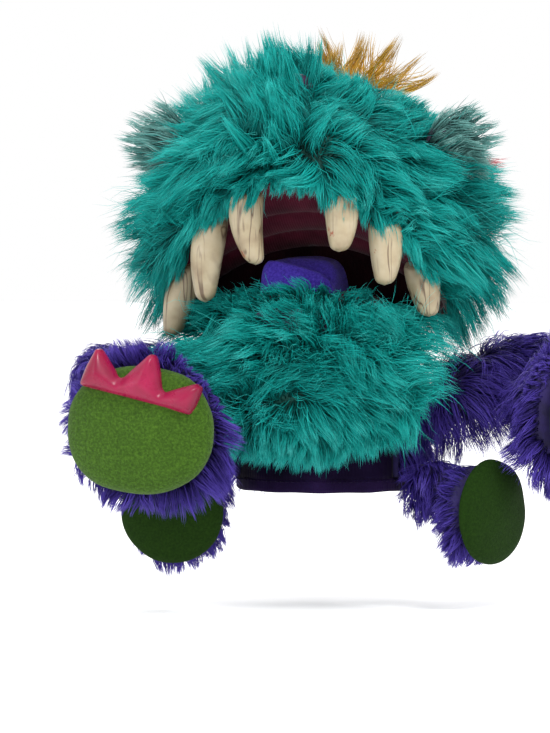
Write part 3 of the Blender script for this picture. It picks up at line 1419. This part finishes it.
def eye_material():
    """A pale ball with a dark round pupil that looks forward and up."""
    n = Nodes("eye_plastic")
    uv = n.add("ShaderNodeUVMap", uv_map="eye").outputs["UV"]
    across = n.add("ShaderNodeSeparateXYZ", {"Vector": uv}).outputs["X"]
    tone = n.ramp(across, [(0.0, (0.01, 0.01, 0.012)), (0.20, (0.01, 0.01, 0.012)),
                           (0.22, (0.75, 0.72, 0.60)), (1.0, (0.80, 0.77, 0.66))])
    rough = n.ramp(n.noise(300, 3), [(0.3, (0.08,) * 3), (0.8, (0.2,) * 3)])
    return n.set(Base_Color=tone, Roughness=rough, Coat_Weight=0.5)


def make_eye(side, s):
    centre = np.array((s * 19, 9, 161.5))
    eye = ball(f"eye_{side}_ball", centre, (8.5, 8.5, 8.5), 32, 48)
    look = unit(np.array((s * 0.12, -0.85, 0.5)))
    uv = eye.data.uv_layers.new(name="eye")
    co = np.array([v.co for v in eye.data.vertices]) / MM
    angle = np.arccos(np.clip(unit(co - centre) @ look, -1, 1)) / math.pi
    for loop in eye.data.loops:
        uv.data[loop.index].uv = (angle[loop.vertex_index], 0.5)
    wear(eye, EYE)
    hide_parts(f"eye_{side}")
    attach(eye, "head")


EYE = eye_material()


# ------------------------------------------------------------ inside pieces
def make_inside():
    """Hidden pieces: pockets and gusset as soft cloth, boards and washers as they are."""
    for node, body in (("finger_pocket", "head"), ("thumb_pocket", "jaw"), ("neck_gusset", "neck")):
        cloth = remesh(copy_nodes(f"{node}_cloth", node), 0.9, relax=2)
        ruffle(cloth, 13, 0.35, 121)
        wear(cloth, LINING)
        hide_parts(node)
        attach(cloth, body)
        declare_sheet(cloth)
    for node in ("palate_board", "jaw_board"):
        wear(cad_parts[node], BOARD)
    for node in ("fang_washers", "eye_washers"):
        wear(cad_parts[node], LOCK)


# ------------------------------------------------------------ studio
def make_studio():
    n = Nodes("studio_floor")
    tone = n.ramp(n.noise(3, 2), [(0.3, (0.93, 0.93, 0.93)), (0.7, (0.95, 0.95, 0.95))])
    n.set(Base_Color=tone, Roughness=0.8, Emission_Color=(1, 1, 1, 1), Emission_Strength=0.25)
    half, low = 6000, -52
    corners = [(-half, -half, low), (half, -half, low), (half, half, low), (-half, half, low)]
    floor = make_mesh("floor", corners, [(0, 1, 2, 3)], shade_smooth=False)
    floor.data.materials.append(n.mat)
    floor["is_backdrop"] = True
    world = bpy.data.worlds.new("studio")
    world.use_nodes = True
    world.node_tree.nodes["Background"].inputs["Color"].default_value = (1, 1, 1, 1)
    world.node_tree.nodes["Background"].inputs["Strength"].default_value = 1.0
    bpy.context.scene.world = world
    # name, place in metres, width in metres, watts
    lamps = (("key", (0.5, -0.7, 1.1), 0.45, 11.0),
             ("fill", (-0.9, -0.8, 0.5), 0.9, 3.0),
             ("rim", (-0.2, 1.0, 0.9), 0.6, 6.0))
    for name, at, size, watts in lamps:
        data = bpy.data.lights.new(name, "AREA")
        data.shape = "DISK"
        data.size = size
        data.energy = watts
        lamp = bpy.data.objects.new(name, data)
        lamp.location = at
        lamp.rotation_euler = (Vector((0, 0, 0.08)) - Vector(at)).to_track_quat("-Z", "Y").to_euler()
        bpy.context.scene.collection.objects.link(lamp)
    bpy.context.scene.view_settings.view_transform = "Standard"


def build():
    head = make_head_skin()
    make_head_fur(head)
    chin = make_chin_skin()
    make_chin_fur(chin)
    make_mouth()
    for name in FANGS:
        make_fang(name)
    make_tongue()
    make_sleeve()
    for side in SIDES:
        make_arm(side)
        make_paw(side)
        make_leg(side)
    make_face()
    make_inside()
    make_studio()


build()
SHOWN_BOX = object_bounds()
boxes = {"cad": CAD_BOX, "visual": SHOWN_BOX}
{k: [list(map(float, corner)) for corner in v] for k, v in boxes.items()}
